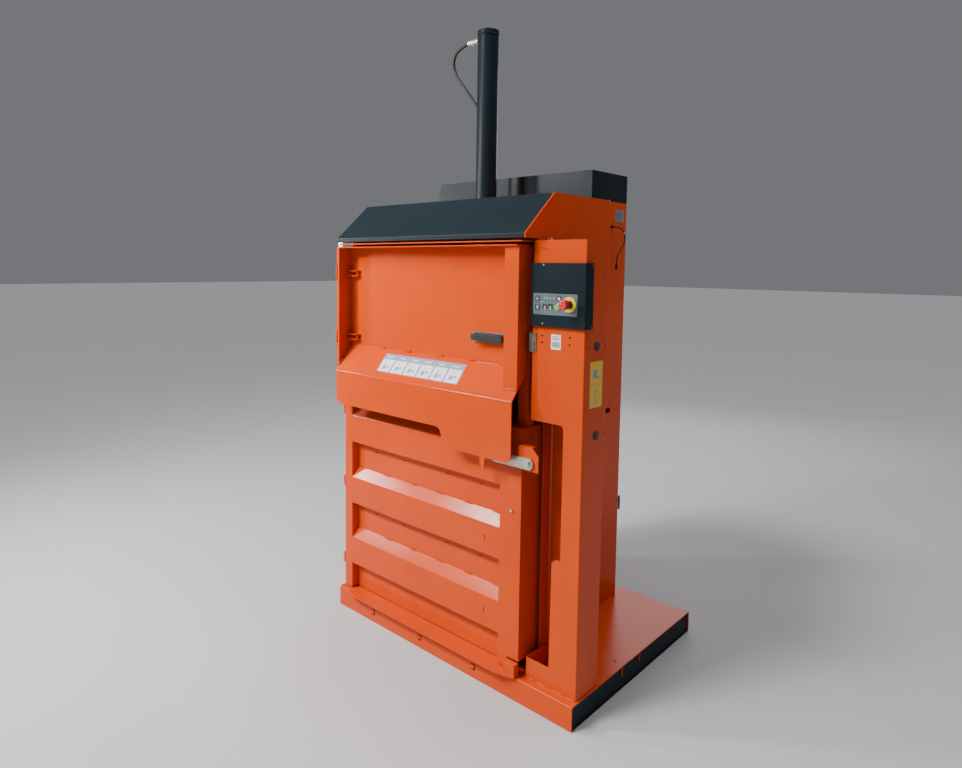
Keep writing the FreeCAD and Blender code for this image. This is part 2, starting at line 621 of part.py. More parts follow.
def make_hinges():
    px, py, r = door_pin_x, door_pin_y, door_knuckle_r
    frame_side = []
    door_side = []
    pins = []
    for z in (1040.0, 652.0, 232.0):
        k = rod(px, py, z, (0, 0, 1), r, knuckle_h)
        k = fuse(k, box(px, door_l, py - 4, py + 4, z, z + knuckle_h))
        door_side.append(k.cut(rod(px, py, z - 1, (0, 0, 1), door_pin_r, knuckle_h + 2)))
        z1 = z + knuckle_h + hinge_gap / 2
        arm = fuse(rod(px, py, z1, (0, 0, 1), r, knuckle_h),
                   box(portal_lo, px, py - 3, py + 3, z1, z1 + knuckle_h),
                   box(portal_lo, portal_li, py - 3, portal_front_y, z1, z1 + knuckle_h))
        frame_side.append(arm.cut(rod(px, py, z1 - 1, (0, 0, 1), door_pin_r + run_gap, knuckle_h + 2)))
        pins.append(rod(px, py, z, (0, 0, 1), door_pin_r, 2 * knuckle_h + hinge_gap / 2))
    hx, hy, r = hatch_pin_x, hatch_pin_y, hatch_knuckle_r
    straps = []
    hatch_side = []
    y1 = hatch_back + 3
    for z in (1766.0, 1434.0):
        strap = fuse(rod(hx, hy, z, (0, 0, 1), r, strap_h),
                     box(portal_lo, portal_lo + 5, hy, y1 + 10, z, z + strap_h),
                     box(portal_lo, hx, hy - 3, hy + 3, z, z + strap_h),
                     box(portal_lo, door_l, y1, y1 + 10, z, z + strap_h))
        strap = strap.cut(rod(hx, hy, z - 1, (0, 0, 1), hatch_pin_r, strap_h + 2))
        straps.append(strap)
        for z1 in (z + strap_h + hinge_gap / 2, z - hinge_gap / 2 - 20):
            k = fuse(rod(hx, hy, z1, (0, 0, 1), r, 20),
                     box(hx, hatch_l + 6, hy - 2, hy + 2, z1, z1 + 20),
                     box(hatch_l + 4, hatch_l + 6, hy - 2, hy + 40, z1, z1 + 20))
            hatch_side.append(k.cut(rod(hx, hy, z1 - 1, (0, 0, 1), hatch_pin_r + run_gap, 22)))
        pins.append(rod(hx, hy, z - 21, (0, 0, 1), hatch_pin_r, strap_h + 42))
    node("door_hinge_leaves", *frame_side)
    node("door_knuckles", *door_side, *straps)
    node("hinge_pins", *pins)
    return hatch_side


def make_lock():
    y, x, z = lock_y, lock_x, lock_z
    bar = prism([(x - 179, z - 24), (x + 13, z - 24), (x + 25, z - 9), (x + 25, z + 9),
                 (x + 13, z + 22),
                 (x - 179, z + 22)], "xz", y, y + lock_t)
    node("lock_bar", bar.cut(rod(x, y - 1, z, (0, 1, 0), lock_pin_r, lock_t + 2)))
    by = y + lock_t + 1
    x0 = door_r + 6
    front = prism([(x0, z - 31), (x + 48, z - 31), (x + 48, z + 35), (x + 16, z + 67), (x0, z + 67)],
                  "xz", by, by + 4)
    bracket = fuse(front, box(x0, x0 + 4, by, -450, z - 31, z + 67),
                   box(x0, x + 16, by, door_front_y, z + 63, z + 67))
    node("lock_bracket", bracket.cut(rod(x, by - 1, z, (0, 1, 0), lock_pin_r, 6)))
    bolt = fuse(hexagon(x, y - 9, z, 24, 8), rod(x, y - 1, z, (0, 1, 0), lock_pin_r - run_gap, 24))
    nut = hexagon(x, by + 4, z, 24, 8).cut(rod(x, by + 3, z, (0, 1, 0), lock_pin_r, 10))
    side = rod(x0, -417, 1097, (1, 0, 0), 6, 5)
    peg = rod(door_r - 40, door_front_y - 10, 805, (0, 1, 0), 6, 10)
    node("door_fasteners", bolt, nut, side, peg)


def make_hatch(knuckles):
    t, f = hatch_t, hatch_face
    sheet = folded([(f, hatch_top - t), (f, slope_z), (apron_y, apron_z), (apron_y, 960)], t, 4.0,
                   "yz", hatch_l + 4, hatch_r)
    low_l, low_r = 1107.0, 1022.0
    keep = [(hatch_l + 4, hatch_top + 89, 0), (hatch_l + 4, slope_z, 0), (hatch_l + 17, apron_z, 0),
            (hatch_l + 17, low_l, 50), (hatch_r - 407, low_l, 35),
            (hatch_r - 373, low_r, 45), (hatch_r - 167, low_r, 0), (hatch_r - 163, 973, 6),
            (hatch_r - 140, 973, 6), (hatch_r - 136, low_r, 0), (hatch_r, low_r, 30),
            (hatch_r, hatch_top + 89, 0)]
    sheet = sheet.common(rounded(keep, "xz", -600, -400))
    front = hatch_front_y
    top = box(hatch_l, hatch_r, front, hatch_back, hatch_top - t, hatch_top)
    end = hatch_top - t
    side = prism([(front, end), (hatch_back, end), (hatch_back, slope_z - t),
                  (front, on_chute(front) - t)],
                 "yz", hatch_l, hatch_l + 4)
    lip = box(hatch_l + 4, hatch_l + 18, front, front + 4, on_chute(front), end)
    tray = fuse(sheet, top, side, lip)
    for z in (1766.0, 1434.0):
        tray = tray.cut(box(hatch_l - 1, hatch_l + 7, front - 1, hatch_pin_y + 12, z - 23,
                            z + strap_h + 23))
    node("hatch_tray", tray)
    y0 = hatch_post_y
    shell = prism([(y0, on_chute(y0)), (y0, end), (f, end), (f, slope_z)], "yz",
                  hatch_r - hatch_post_w, hatch_r)
    hollow = prism([(y0 + 4, on_chute(y0) - 60), (y0 + 4, end - 4), (f + 1, end - 4),
                    (f + 1, slope_z - 60)],
                   "yz", hatch_r - hatch_post_w + 4, hatch_r - 4)
    node("hatch_post", shell.cut(hollow))
    lugs = []
    for z in (1762.0, 1433.0):
        for z1 in (z, z + 26):
            lugs.append(prism([(hatch_l + 18, f), (hatch_l + 18, f - 30), (hatch_l + 78, f - 24),
                               (hatch_l + 87, f - 14), (hatch_l + 87, f)],
                              "xy", z1, z1 + 5))
        lugs.append(rod(hatch_l + 74, f - 12, z + 5, (0, 0, 1), 5, 21))
    node("hatch_lugs", *knuckles, *lugs)
    x0, x1, z0, z1 = hatch_r - 295, hatch_r - 100, 1493.0, 1538.0
    bezel = plate(x0, x1, z0, z1, f - 10, f, 5)
    bezel = bezel.cut(plate(x0 + 8, x1 - 8, z0 + 7, z1 - 7, f - 11, f + 1, 4))
    node("handle_bezel", bezel)
    grip = fuse(plate(x0 + 12, x1 - 12, z0 + 9, z1 - 9, f - 38, f - 24, 5),
                box(x0 + 12, x0 + 26, f - 28, f, z0 + 12, z1 - 12), box(x1 - 26, x1 - 12, f - 28, f,
                                                                        z0 + 12, z1 - 12))
    node("handle_grip", grip)


def make_wall_lead():
    x = wall_ro
    route = [(x + 8, 306, 2022), (x + 44, 306, 2022), (x + 48, 345, 2000), (x + 46, 365, 1955),
             (x + 42, 335, 1915), (x + 40, 296, 1880), (x + 40, 296, 1838)]
    node("wall_lead", lead(route, 3.0))
    gland = fuse(rod(x, 306, 2022, (1, 0, 0), 8, 8), rod(x - 5, 306, 2022, (1, 0, 0), 4.7, 6))
    node("lead_plug", rod(x + 40, 296, 1838, (0, 0, -1), 6, 26))
    hook = fuse(box(x - 20, x - 14, housing_back_y, housing_back_y + 49, 590, 622),
                box(x - 20, x - 14, housing_back_y + 37, housing_back_y + 49, 549, 622))
    node("wall_fittings", gland, hook)


os.makedirs("parts", exist_ok=True)
make_base()
floor_starts, floor_bar_w = make_chamber()
make_portal()
make_press(floor_starts, floor_bar_w)
make_covers()
make_controls(make_column())
make_door()
make_lock()
make_hatch(make_hinges())
make_wall_lead()
print(len(set(made)), "nodes")
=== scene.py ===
import bpy
import json
import math
import numpy as np
from mathutils import Matrix, Vector


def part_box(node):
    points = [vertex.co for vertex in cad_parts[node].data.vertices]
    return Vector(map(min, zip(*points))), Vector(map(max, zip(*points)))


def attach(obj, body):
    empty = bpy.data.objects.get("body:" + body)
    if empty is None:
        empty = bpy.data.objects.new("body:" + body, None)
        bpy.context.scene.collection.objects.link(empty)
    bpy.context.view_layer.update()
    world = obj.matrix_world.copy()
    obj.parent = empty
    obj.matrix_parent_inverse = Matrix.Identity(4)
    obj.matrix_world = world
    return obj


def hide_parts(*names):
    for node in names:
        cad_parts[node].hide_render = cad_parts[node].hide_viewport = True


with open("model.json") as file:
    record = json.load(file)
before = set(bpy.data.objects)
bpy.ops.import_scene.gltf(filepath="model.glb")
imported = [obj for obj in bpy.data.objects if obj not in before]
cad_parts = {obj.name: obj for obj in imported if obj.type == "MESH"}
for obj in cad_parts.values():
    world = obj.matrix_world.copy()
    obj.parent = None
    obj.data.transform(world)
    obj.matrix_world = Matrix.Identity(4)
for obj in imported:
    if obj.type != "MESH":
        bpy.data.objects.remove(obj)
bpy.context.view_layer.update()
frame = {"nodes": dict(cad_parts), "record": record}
MM = 0.001
VIEW_WIDTH = 962
SENSOR_WIDTH = 36.0
FULL_TURN = 2 * math.pi


# ---------------------------------------------------------------- shader words

class Wire:
    """One socket of a shader tree. Arithmetic on it adds Math nodes."""

    def __init__(self, paint, socket):
        self.paint = paint
        self.socket = socket

    def maths(self, operation, first, second):
        return self.paint.node("ShaderNodeMath", {"operation": operation}, {0: first, 1: second})

    def __add__(self, other):
        return self.maths("ADD", self, other)

    def __sub__(self, other):
        return self.maths("SUBTRACT", self, other)

    def __mul__(self, other):
        return self.maths("MULTIPLY", self, other)

    def __rsub__(self, other):
        return self.maths("SUBTRACT", other, self)

    __radd__ = __add__
    __rmul__ = __mul__


class Paint:
    """One material: a principled shader and the nodes that feed it."""

    def __init__(self, name, **constants):
        self.material = bpy.data.materials.new(name)
        self.material.use_nodes = True
        self.tree = self.material.node_tree
        self.shader = self.tree.nodes["Principled BSDF"]
        for label, value in constants.items():
            self.shader.inputs[label.replace("_", " ")].default_value = value
        coordinates = self.tree.nodes.new("ShaderNodeTexCoord")
        self.place = Wire(self, coordinates.outputs["Object"])

    def node(self, kind, settings, sockets, out=0):
        """Adds a node, sets its settings and then its sockets, and returns one output."""
        made = self.tree.nodes.new(kind)
        for key, value in settings.items():
            setattr(made, key, value)
        for key, value in sockets.items():
            self.feed(made.inputs[key], value)
        return Wire(self, made.outputs[out])

    def feed(self, socket, value):
        if isinstance(value, Wire):
            self.tree.links.new(value.socket, socket)
        else:
            socket.default_value = value

    def noise(self, scale, detail=3.0, rough=0.5, stretch=(1, 1, 1)):
        """Cloudy noise on the piece's own coordinates, stretched along the axes."""
        where = self.node("ShaderNodeMapping", {}, {"Vector": self.place, "Scale": stretch})
        return self.node("ShaderNodeTexNoise", {},
                         {"Vector": where, "Scale": scale, "Detail": detail, "Roughness": rough})

    def ramp(self, factor, low, high):
        """0 below low, 1 above high, and smooth between them."""
        return self.node("ShaderNodeMapRange", {"interpolation_type": "SMOOTHSTEP"},
                         {0: factor, 1: low, 2: high, 3: 0.0, 4: 1.0})

    def mix(self, factor, a, b):
        """Colour a where the factor is 0, and b where it is 1."""
        tint = [c if isinstance(c, Wire) else (*c, 1.0) for c in (a, b)]
        return self.node("ShaderNodeMix", {"data_type": "RGBA"},
                         {0: factor, 6: tint[0], 7: tint[1]}, out=2)

    def height(self):
        """The height above the ground."""
        return self.node("ShaderNodeSeparateXYZ", {}, {0: self.place}, out=2)

    def edge(self, radius):
        """A normal that rounds sharp edges."""
        return self.node("ShaderNodeBevel", {"samples": 4}, {"Radius": radius})

    def relief(self, height, distance, strength, base=None):
        """A normal bent by a height, on top of a base normal where one is given."""
        sockets = {"Height": height, "Distance": distance, "Strength": strength}
        if base is not None:
            sockets["Normal"] = base
        return self.node("ShaderNodeBump", {}, sockets)

    def finish(self, **links):
        for label, wire in links.items():
            self.feed(self.shader.inputs[label.replace("_", " ")], wire)
        return self.material


def powder_coat(name, colour, deep, rough, peel, dirt, shine=0.22):
    """Powder coat: fine orange-peel relief, cloudy tone, rubbed patches and dust low down."""
    p = Paint(name, Specular_IOR_Level=shine)
    cloud = p.noise(2.2, 4.0, 0.55)
    tone = p.mix(p.ramp(cloud, 0.35, 0.7), deep, colour)
    rub = p.ramp(p.noise(9.0, 8.0, 0.7, (1.0, 1.0, 3.0)), 0.63, 0.72)
    low = 1 - p.ramp(p.height(), 0.02, 0.75)
    speck = p.ramp(p.noise(160.0, 2.0), 0.68, 0.74)
    worn = p.mix(rub * (0.10 + low * 0.25), tone, dirt)
    worn = p.mix(speck * (0.06 + low * 0.25), worn, dirt)
    grain = p.noise(420.0, 2.0, 0.5)
    wave = p.noise(5.0, 1.0)
    bump = p.relief(wave, 0.0035, 0.12, p.edge(0.0016))
    return p.finish(Base_Color=worn, Roughness=rough + cloud * 0.06 + rub * 0.12 + low * 0.05,
                    Normal=p.relief(grain, peel, 0.35, bump))


def plated(name, colour, rough, bloom, spangle):
    """Zinc plate or turned metal: mottled crystals and a fine drawn grain."""
    p = Paint(name, Metallic=1.0)
    cell = p.node("ShaderNodeTexVoronoi", {}, {"Vector": p.place, "Scale": spangle})
    film = p.noise(40.0, 5.0, 0.6)
    tint = p.mix(p.ramp(film, 0.35, 0.7), bloom, colour)
    grain = p.noise(300.0, 2.0, 0.5, (0.05, 1.0, 1.0))
    return p.finish(Base_Color=tint, Roughness=rough + film * 0.15 + cell * 0.08,
                    Normal=p.relief(grain, 0.0002, 0.3, p.edge(0.0008)))


def moulded(name, colour, deep, rough, grain_size, depth):
    """Moulded plastic or rubber: a spark-eroded grain, finger marks and slight fading."""
    p = Paint(name, Specular_IOR_Level=0.5)
    cloud = p.noise(14.0, 4.0, 0.6)
    smear = p.ramp(p.noise(35.0, 3.0, 0.6), 0.5, 0.75)
    grain = p.noise(grain_size, 2.0)
    return p.finish(Base_Color=p.mix(p.ramp(cloud, 0.3, 0.7), deep, colour),
                    Roughness=rough + smear * 0.10,
                    Normal=p.relief(grain, depth, 0.4, p.edge(0.0007)))


def printed(name, colour, deep):
    """Printed film: flat ink with a faint mottle and a soft sheen."""
    rough = 0.42
    p = Paint(name, Specular_IOR_Level=0.5)
    mottle = p.noise(90.0, 3.0)
    return p.finish(Base_Color=p.mix(p.ramp(mottle, 0.3, 0.8), deep, colour),
                    Roughness=rough + mottle * 0.08)


def braided_rubber(name):
    """Hydraulic hose cover: the impression of wrapped cloth, in fine bands of height."""
    p = Paint(name, Specular_IOR_Level=0.4)
    wave = p.node("ShaderNodeTexWave", {"bands_direction": "Z"},
                  {"Vector": p.place, "Scale": 160.0, "Distortion": 2.0, "Detail": 1.0})
    film = p.noise(60.0, 3.0)
    return p.finish(Base_Color=p.mix(film, (0.010, 0.010, 0.011), (0.022, 0.023, 0.024)),
                    Roughness=0.48 + film * 0.12, Normal=p.relief(wave, 0.0003, 0.3))


DIRT = (0.16, 0.045, 0.02)
finishes = {
    "orange_paint": powder_coat("orange_powder_coat", (0.64, 0.062, 0.001), (0.60, 0.054, 0.0005),
                                0.18, 0.0005, DIRT),
    "black_paint": powder_coat("black_powder_coat", (0.012, 0.020, 0.026), (0.010, 0.017, 0.022),
                               0.32, 0.0005, (0.05, 0.05, 0.05), 0.09),
    "zinc_steel": plated("zinc_plate", (0.66, 0.67, 0.60), 0.30, (0.52, 0.53, 0.47), 70.0),
    "polished_rod": plated("ground_chrome", (0.82, 0.83, 0.84), 0.10, (0.75, 0.76, 0.78), 200.0),
    "black_rubber": braided_rubber("hose_cover"),
    "black_plastic": moulded("black_moulding", (0.018, 0.020, 0.022), (0.012, 0.013, 0.015),
                             0.42, 900.0, 0.0002),
    "grey_plastic": moulded("grey_film", (0.085, 0.125, 0.135), (0.075, 0.110, 0.120),
                            0.45, 700.0, 0.0001),
    "brass_fitting": plated("turned_brass", (0.75, 0.55, 0.27), 0.28, (0.62, 0.44, 0.20), 120.0),
    "red_plastic": moulded("red_moulding", (0.72, 0.012, 0.022), (0.60, 0.010, 0.018),
                           0.24, 1200.0, 0.00005),
    "yellow_plastic": moulded("yellow_moulding", (0.90, 0.70, 0.02), (0.84, 0.63, 0.02),
                              0.30, 1200.0, 0.00005),
    "green_plastic": moulded("green_moulding", (0.07, 0.62, 0.10), (0.05, 0.52, 0.08),
                             0.28, 1200.0, 0.00005),
    # A darker copy of the zinc plate, with painted shade in its colour; it is used on the hatch striker
    # and the column bolts
    "shaded_zinc": plated("shaded_zinc", (0.34, 0.30, 0.24), 0.42, (0.22, 0.19, 0.15), 60.0),
    "grey_enamel": powder_coat("machine_enamel", (0.20, 0.22, 0.23), (0.17, 0.19, 0.20),
                               0.40, 0.0004, (0.06, 0.05, 0.04)),
}
inks = {
    "white": printed("label_white", (0.80, 0.82, 0.83), (0.74, 0.77, 0.79)),
    "slate": printed("label_slate", (0.24, 0.30, 0.40), (0.20, 0.26, 0.36)),
    "pale": printed("label_pale", (0.50, 0.60, 0.68), (0.44, 0.54, 0.62)),
    "yellow": printed("label_yellow", (0.80, 0.53, 0.03), (0.74, 0.48, 0.025)),
    "black": printed("label_black", (0.02, 0.02, 0.022), (0.015, 0.015, 0.017)),
    "plate": plated("etched_plate", (0.45, 0.46, 0.46), 0.42, (0.36, 0.37, 0.37), 300.0),
    "lamp": moulded("lamp_lens", (0.55, 0.60, 0.62), (0.45, 0.50, 0.52), 0.2, 1500.0, 0.00005),
    "tie": moulded("nylon_tie", (0.80, 0.78, 0.70), (0.70, 0.68, 0.60), 0.4, 1500.0, 0.00005),
}


# ---------------------------------------------------------------- mesh words

def mesh_piece(name, grids, finish, body, smooth=True):
    """Joins grids of points (rows, columns, 3). A capped one has its first and last ring filled in; a
    looped one runs back to its own first ring."""
    points, faces, start = [], [], 0
    for grid, closed in grids:
        if closed == "looped":
            grid = np.concatenate([grid, grid[:1]])
        rows, cols = grid.shape[:2]
        index = start + np.arange(rows * cols).reshape(rows, cols)
        side = np.roll(index, -1, 1)
        quads = np.stack([index[:-1], side[:-1], side[1:], index[1:]], -1)
        faces += quads.reshape(-1, 4).tolist()
        if closed == "capped":
            faces += [index[0][::-1].tolist(), index[-1].tolist()]
        points.append(grid.reshape(-1, 3))
        start += rows * cols
    data = bpy.data.meshes.new(name)
    data.from_pydata(np.concatenate(points).tolist(), [], faces)
    data.validate()
    data.update()
    piece = bpy.data.objects.new(name, data)
    bpy.context.collection.objects.link(piece)
    data.materials.append(finish)
    for polygon in data.polygons:
        polygon.use_smooth = smooth
    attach(piece, body)
    return piece


def frame_of(axis):
    """Two unit vectors that stand across an axis."""
    axis = np.asarray(axis, float) / np.linalg.norm(axis)
    helper = np.array([0.0, 0.0, 1.0]) if abs(axis[2]) < 0.9 else np.array([1.0, 0.0, 0.0])
    u = np.cross(helper, axis)
    u /= np.linalg.norm(u)
    return axis, u, np.cross(axis, u)


def turned(centre, axis, profile, count=40, ends="capped"):
    """A body of revolution: each profile pair (radius, distance) sweeps a full turn about the axis."""
    axis, u, v = frame_of(axis)
    turn = np.linspace(0, FULL_TURN, count, endpoint=False)
    ring = np.outer(np.cos(turn), u) + np.outer(np.sin(turn), v)
    r, along = np.array(profile, float).T
    grid = np.asarray(centre) + along[:, None, None] * axis + r[:, None, None] * ring[None]
    return grid, ends


def weld(a, b, r, seed):
    """A weld bead from a to b: a round bar whose radius ripples along it and falls off steeply at
    its ends."""
    a, b = np.asarray(a, float), np.asarray(b, float)
    axis, u, v = frame_of(b - a)
    length = np.linalg.norm(b - a)
    steps = max(10, int(length / (r * 0.45)))
    t = np.linspace(0, 1, steps)
    noise = np.random.default_rng(seed).normal(0, 0.04, steps)
    swell = np.sqrt(np.clip(1 - np.abs(2 * t - 1) ** 12, 0.02, 1))
    radius = r * (0.86 + 0.14 * np.abs(np.sin(t * length / r * 1.9)) + noise) * swell
    turn = np.linspace(0, FULL_TURN, 10, endpoint=False)
    ring = np.outer(np.cos(turn), u) + np.outer(np.sin(turn), v)
    spine = a + t[:, None] * (b - a)
    return spine[:, None] + radius[:, None, None] * ring[None], "capped"


def pad(centre, u, v, n, half_u, half_v, depth, power=6.0, count=28):
    """A thin pad: a superellipse outline with a softened rim, standing on a face along n."""
    turn = np.linspace(0, FULL_TURN, count, endpoint=False)
    c, s = np.cos(turn), np.sin(turn)
    k = (np.abs(c) ** power + np.abs(s) ** power) ** (-1 / power)
    ring = np.outer(c * k * half_u, u) + np.outer(s * k * half_v, v)
    rim = min(depth, 0.25 * min(half_u, half_v))
    scale = np.array([1.0, 1.0, 1 - 0.5 * rim / min(half_u, half_v)])
    rise = np.array([0.0, depth - 0.5 * rim, depth])
    outline = scale[:, None, None] * ring[None]
    return np.asarray(centre) + rise[:, None, None] * np.asarray(n) + outline, "capped"


def shape_on(face, outline, depth):
    """A flat sign cut to an outline, given in the face's own two directions, and raised by depth."""
    origin, u, v, n = (np.asarray(q, float) for q in face)
    o = np.array(outline, float)
    if np.sum(o[:, 0] * np.roll(o[:, 1], -1) - o[:, 1] * np.roll(o[:, 0], -1)) < 0:
        o = o[::-1]
    ring = origin + o[:, :1] * u + o[:, 1:] * v
    return np.stack([ring, ring + depth * n]), "capped"


def bar(x0, x1, y0, y1):
    """An upright rectangle's outline."""
    return [(x0, y0), (x1, y0), (x1, y1), (x0, y1)]


def disc(x, y, r):
    """A circle's outline, as a polygon of 20 sides."""
    turn = np.linspace(0, FULL_TURN, 20, endpoint=False)
    return np.stack([x + r * np.cos(turn), y + r * np.sin(turn)], 1)


def arrow(x, y, size, way=1):
    """A triangle's outline that points up, or down where way is -1."""
    return [(x - size, y - 0.3 * size * way), (x + size, y - 0.3 * size * way), (x, y + size * way)]


def flat(name, face, outlines, ink, body, depth):
    """A printed sign of several outlines on one face."""
    grids = [shape_on(face, outline, depth) for outline in outlines]
    mesh_piece(name, grids, inks[ink], body, smooth=False)


def smooth_line(points):
    """Points along a route's own spline, read back from the curve."""
    data = bpy.data.curves.new("line", "CURVE")
    add_spline(data, points)
    thing = bpy.data.objects.new("line", data)
    bpy.context.collection.objects.link(thing)
    bpy.context.view_layer.update()
    solid = bpy.data.meshes.new_from_object(thing)
    line = np.array([tuple(v.co) for v in solid.vertices])
    bpy.data.objects.remove(thing)
    return line


def add_spline(data, points):
    """One smooth open spline with the route's points as its control points."""
    data.dimensions = "3D"
    data.resolution_u = 24
    spline = data.splines.new("NURBS")
    spline.points.add(len(points) - 1)
    for spot, place in zip(spline.points, points):
        spot.co = (*place, 1)
    spline.order_u = 3
    spline.use_endpoint_u = True


def flexible(name, points, diameter, body, node, finish):
    """A lead or hose of one spline, with a round section."""
    data = bpy.data.curves.new(name, "CURVE")
    add_spline(data, points)
    data.bevel_depth = diameter / 2
    data.bevel_resolution = 6
    data.use_fill_caps = True
    data.materials.append(finish)
    piece = bpy.data.objects.new(name, data)
    bpy.context.collection.objects.link(piece)
    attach(piece, body)
    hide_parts(node)
    return piece


# ---------------------------------------------------------------- the frame's own nodes

slot_of = {s["node"]: s["material_slot"] for s in frame["record"]["subparts"]}
# The striker and the column bolts take the darker zinc copy, whose colour holds painted shade
own_finish = {"hatch_striker": "shaded_zinc", "column_bolts": "shaded_zinc"}
for node_name, thing in frame["nodes"].items():
    for holder in thing.material_slots:
        holder.material = finishes[own_finish.get(node_name, slot_of[node_name])]

pan_lo, pan_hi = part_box("base_pan")
post_lo, post_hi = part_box("hatch_post")
column_lo, column_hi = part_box("column_shell")
stop_lo, stop_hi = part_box("stop_button")
rib_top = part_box("door_ribs")[1][2]
keypad_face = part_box("control_panel")[0][1]
cylinder_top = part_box("cylinder_barrel")[1][2]
gland_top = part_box("cylinder_gland")[1][2]
wall_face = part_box("chamber_walls")[1][0]
door_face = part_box("door_panel")[0][1]
tray_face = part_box("hatch_tray")[1][1] - 5 * MM
CYLINDER_X, CYLINDER_Y = -0.130, -0.054
PROUD = 1 * MM
X, Y, Z = np.eye(3)


# ---------------------------------------------------------------- welds and tabs

def rib_tabs():
    """Tongues of the ribs that stand through the door skin: at the top of each slope a row of pads,
    each with a weld bead along it."""
    pitch, half_bead = 0.3265, 0.024
    y = door_face - PROUD
    grids = []
    for k in range(3):
        z = rib_top - k * pitch
        for i, x in enumerate((-0.414, -0.233, -0.052, 0.128, 0.296)):
            grids.append(weld((x - half_bead, y, z), (x + half_bead, y, z), 0.0042, 7 * k + i))
            grids.append(pad((x, door_face, z + PROUD), X, Z, -Y, 0.021, 0.0035, 0.006))
    mesh_piece("rib_tabs", grids, finishes["orange_paint"], "bale_door")


CHUTE_TOP = (tray_face, 1.403)
CHUTE_FOOT = (-0.550, 1.277)


def chute_point(s):
    """A point's y and z on the hatch's sloping face: s = 0 at the panel and 1 at the apron."""
    return (CHUTE_TOP[0] + s * (CHUTE_FOOT[0] - CHUTE_TOP[0]),
            CHUTE_TOP[1] + s * (CHUTE_FOOT[1] - CHUTE_TOP[1]))


def hatch_tabs():
    """The slope's tongues in the hatch skin, each a pad with a bead, two beads near the apron, and
    the beads across and along the foot of the hatch post."""
    tab_z, half_bead, half_low = 1.407, 0.026, 0.030
    grids = []
    for i, x in enumerate((-0.467, -0.276, -0.059, 0.132, 0.319)):
        y = tray_face - PROUD
        grids.append(weld((x - half_bead, y, tab_z), (x + half_bead, y, tab_z), 0.0042, 40 + i))
        grids.append(pad((x, tray_face, tab_z + 2 * MM), X, Z, -Y, 0.022, 0.004, 0.006))
    for i, x in enumerate((-0.489, 0.250)):
        y, z = chute_point(0.93)
        grids.append(weld((x - half_low, y, z), (x + half_low, y, z), 0.0030, 50 + i))
    y, z = chute_point(0.665)
    grids.append(weld((post_lo[0] + 6 * MM, y - PROUD, z + PROUD),
                      (post_hi[0] - 4 * MM, y - PROUD, z + PROUD), 0.0045, 60))
    grids.append(weld((post_lo[0], *chute_point(0.04)), (post_lo[0], y, z), 0.0035, 61))
    mesh_piece("hatch_tabs", grids, finishes["orange_paint"], "hatch")


def frame_welds():
    """Stitch beads on the base pan: at the foot of the column's front, right and left side, at the
    foot of the right wall, and along the pan's front edge."""
    z = pan_hi[2]
    column_left = 0.476
    # the line's direction, its beads' middles, its other coordinate, a bead's half length, its
    # height, its radius and the first seed
    rows = (
        (X, (0.500, 0.560, 0.640, 0.700), column_lo[1] - PROUD, 0.022, z, 0.0045, 70),
        (Y, (-0.44, -0.38, -0.32), column_hi[0] + PROUD, 0.02, z, 0.0045, 80),
        (Y, (-0.30, -0.10, 0.08), column_left, 0.03, z, 0.0045, 90),
        (Y, (0.16, 0.28, 0.40), wall_face + PROUD, 0.03, z, 0.0045, 95),
        (X, (-0.62, -0.37, -0.13, 0.13, 0.36), pan_lo[1] - PROUD, 0.03, z + PROUD, 0.0035, 100),
    )
    grids = []
    for line, middles, aside, half, height, r, seed in rows:
        for i, middle in enumerate(middles):
            ends = [(spot, aside, height) if line is X else (aside, spot, height)
                    for spot in (middle - half, middle + half)]
            grids.append(weld(*ends, r, seed + i))
    mesh_piece("frame_welds", grids, finishes["orange_paint"], "frame")


def cylinder_trim():
    """Weld rings round the tube, below the cap and at the collar: a low dome's profile, turned."""
    r = 0.052
    dome = [(r, -0.0035), (r + 0.0030, -0.0020), (r + 0.0036, 0), (r + 0.0030, 0.0020), (r, 0.0035)]
    raised = [(q, d + 0.003) for q, d in dome]
    cap_seam = (CYLINDER_X, CYLINDER_Y, cylinder_top - 0.022)
    collar_seam = (CYLINDER_X, CYLINDER_Y, gland_top - 0.006)
    grids = [turned(cap_seam, Z, dome, 72, "looped"), turned(collar_seam, Z, raised, 72, "looped")]
    mesh_piece("cylinder_trim", grids, finishes["black_paint"], "frame")


# ---------------------------------------------------------------- labels and keys

def chute_face(x, s):
    """A spot on the slope with the face's own directions: to the right, up the slope and outwards."""
    fall = np.array(chute_point(1.0)) - np.array(chute_point(0.0))
    down = np.array([0.0, *fall]) / np.linalg.norm(fall)
    return (x, *chute_point(s)), X, -down, np.cross(X, -down)


def chute_label():
    """Six plain pictures under a slate band: boxes, discs and arrows of no one's design."""
    face = chute_face(-0.414, 0.78)
    width, height, band = 0.536, 0.104, 0.030
    flat("chute_label", face, [bar(0, width, 0, height - band)], "slate", "hatch", 0.3 * MM)
    flat("chute_label_band", face, [bar(0, width, height - band, height)], "slate", "hatch",
         0.3 * MM)
    count = 6
    step = width / count
    tiles, marks = [], []
    for k in range(count):
        x = (k + 0.5) * step
        tiles.append(bar(x - 0.44 * step, x + 0.44 * step, 0.004, height - band - 0.002))
        marks.append(bar(x - 0.22 * step, x + 0.02 * step, 0.016, 0.040))
        marks.append(disc(x + 0.16 * step, 0.028 + 0.006 * (k % 2), 0.008))
        marks.append(arrow(x - 0.10 * step, 0.054, 0.006, 1 if k % 2 else -1))
    flat("chute_label_tiles", face, tiles, "white", "hatch", 0.4 * MM)
    flat("chute_label_marks", face, marks, "slate", "hatch", 0.5 * MM)
    low, high = height - 0.019, height - 0.014
    lines = [bar(0.02 + 0.088 * k, 0.02 + 0.088 * k + 0.045, low, high) for k in range(count)]
    flat("chute_label_lines", face, lines, "white", "hatch", 0.5 * MM)


